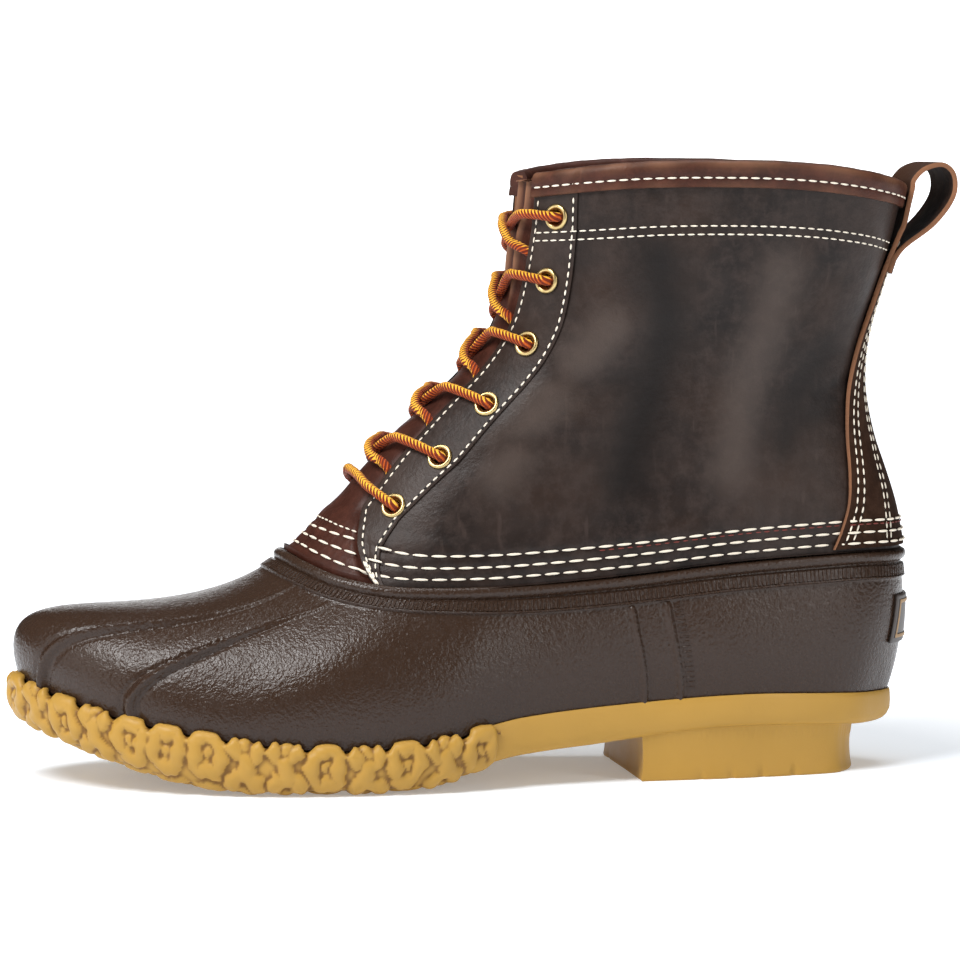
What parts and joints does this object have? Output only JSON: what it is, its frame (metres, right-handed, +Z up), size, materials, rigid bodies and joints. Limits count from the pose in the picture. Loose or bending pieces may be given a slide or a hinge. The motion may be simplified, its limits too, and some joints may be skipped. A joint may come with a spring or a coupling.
{
  "type": "duck boot, left",
  "caption": "Left duck boot with a dark rubber foot, tan chain-tread sole, laced dark brown leather shaft and a pull loop.",
  "frame": {"origin": "on the floor, below the middle of the boot's box", "axes": "+X from toe to heel, +Y to the inner side of the foot, +Z up"},
  "size_m": [0.3208, 0.1068, 0.2052],
  "materials": {
    "sole_rubber": "matt moulded rubber",
    "shell_rubber": "semi-gloss moulded rubber with a fine grain",
    "dark_leather": "waxed pull-up leather",
    "red_leather": "waxed red-brown leather",
    "strap_leather": "dark leather with raw tan edges",
    "patch_rubber": "plain patch with a tan frame",
    "insole_fabric": "matt felt",
    "brass": "polished",
    "lace_cord": "braided gold and rust cord"
  },
  "bodies": {
    "root": {"outsole": "sole_rubber", "heel_block": "sole_rubber", "rubber_shell": "shell_rubber", "quarters": "dark_leather", "tongue": "red_leather", "collar_binding": "red_leather", "back_strap": "strap_leather", "heel_patch": "patch_rubber", "insole": "insole_fabric", "lace_bar": "lace_cord", "lace_cross_1": "lace_cord", "lace_cross_2": "lace_cord", "lace_cross_3": "lace_cord", "lace_cross_4": "lace_cord", "lace_cross_5": "lace_cord", "eyelet_outer_1": "brass", "eyelet_outer_2": "brass", "eyelet_outer_3": "brass", "eyelet_outer_4": "brass", "eyelet_outer_5": "brass", "eyelet_outer_6": "brass", "eyelet_inner_1": "brass", "eyelet_inner_2": "brass", "eyelet_inner_3": "brass", "eyelet_inner_4": "brass", "eyelet_inner_5": "brass", "eyelet_inner_6": "brass"}
  },
  "joints": []
}
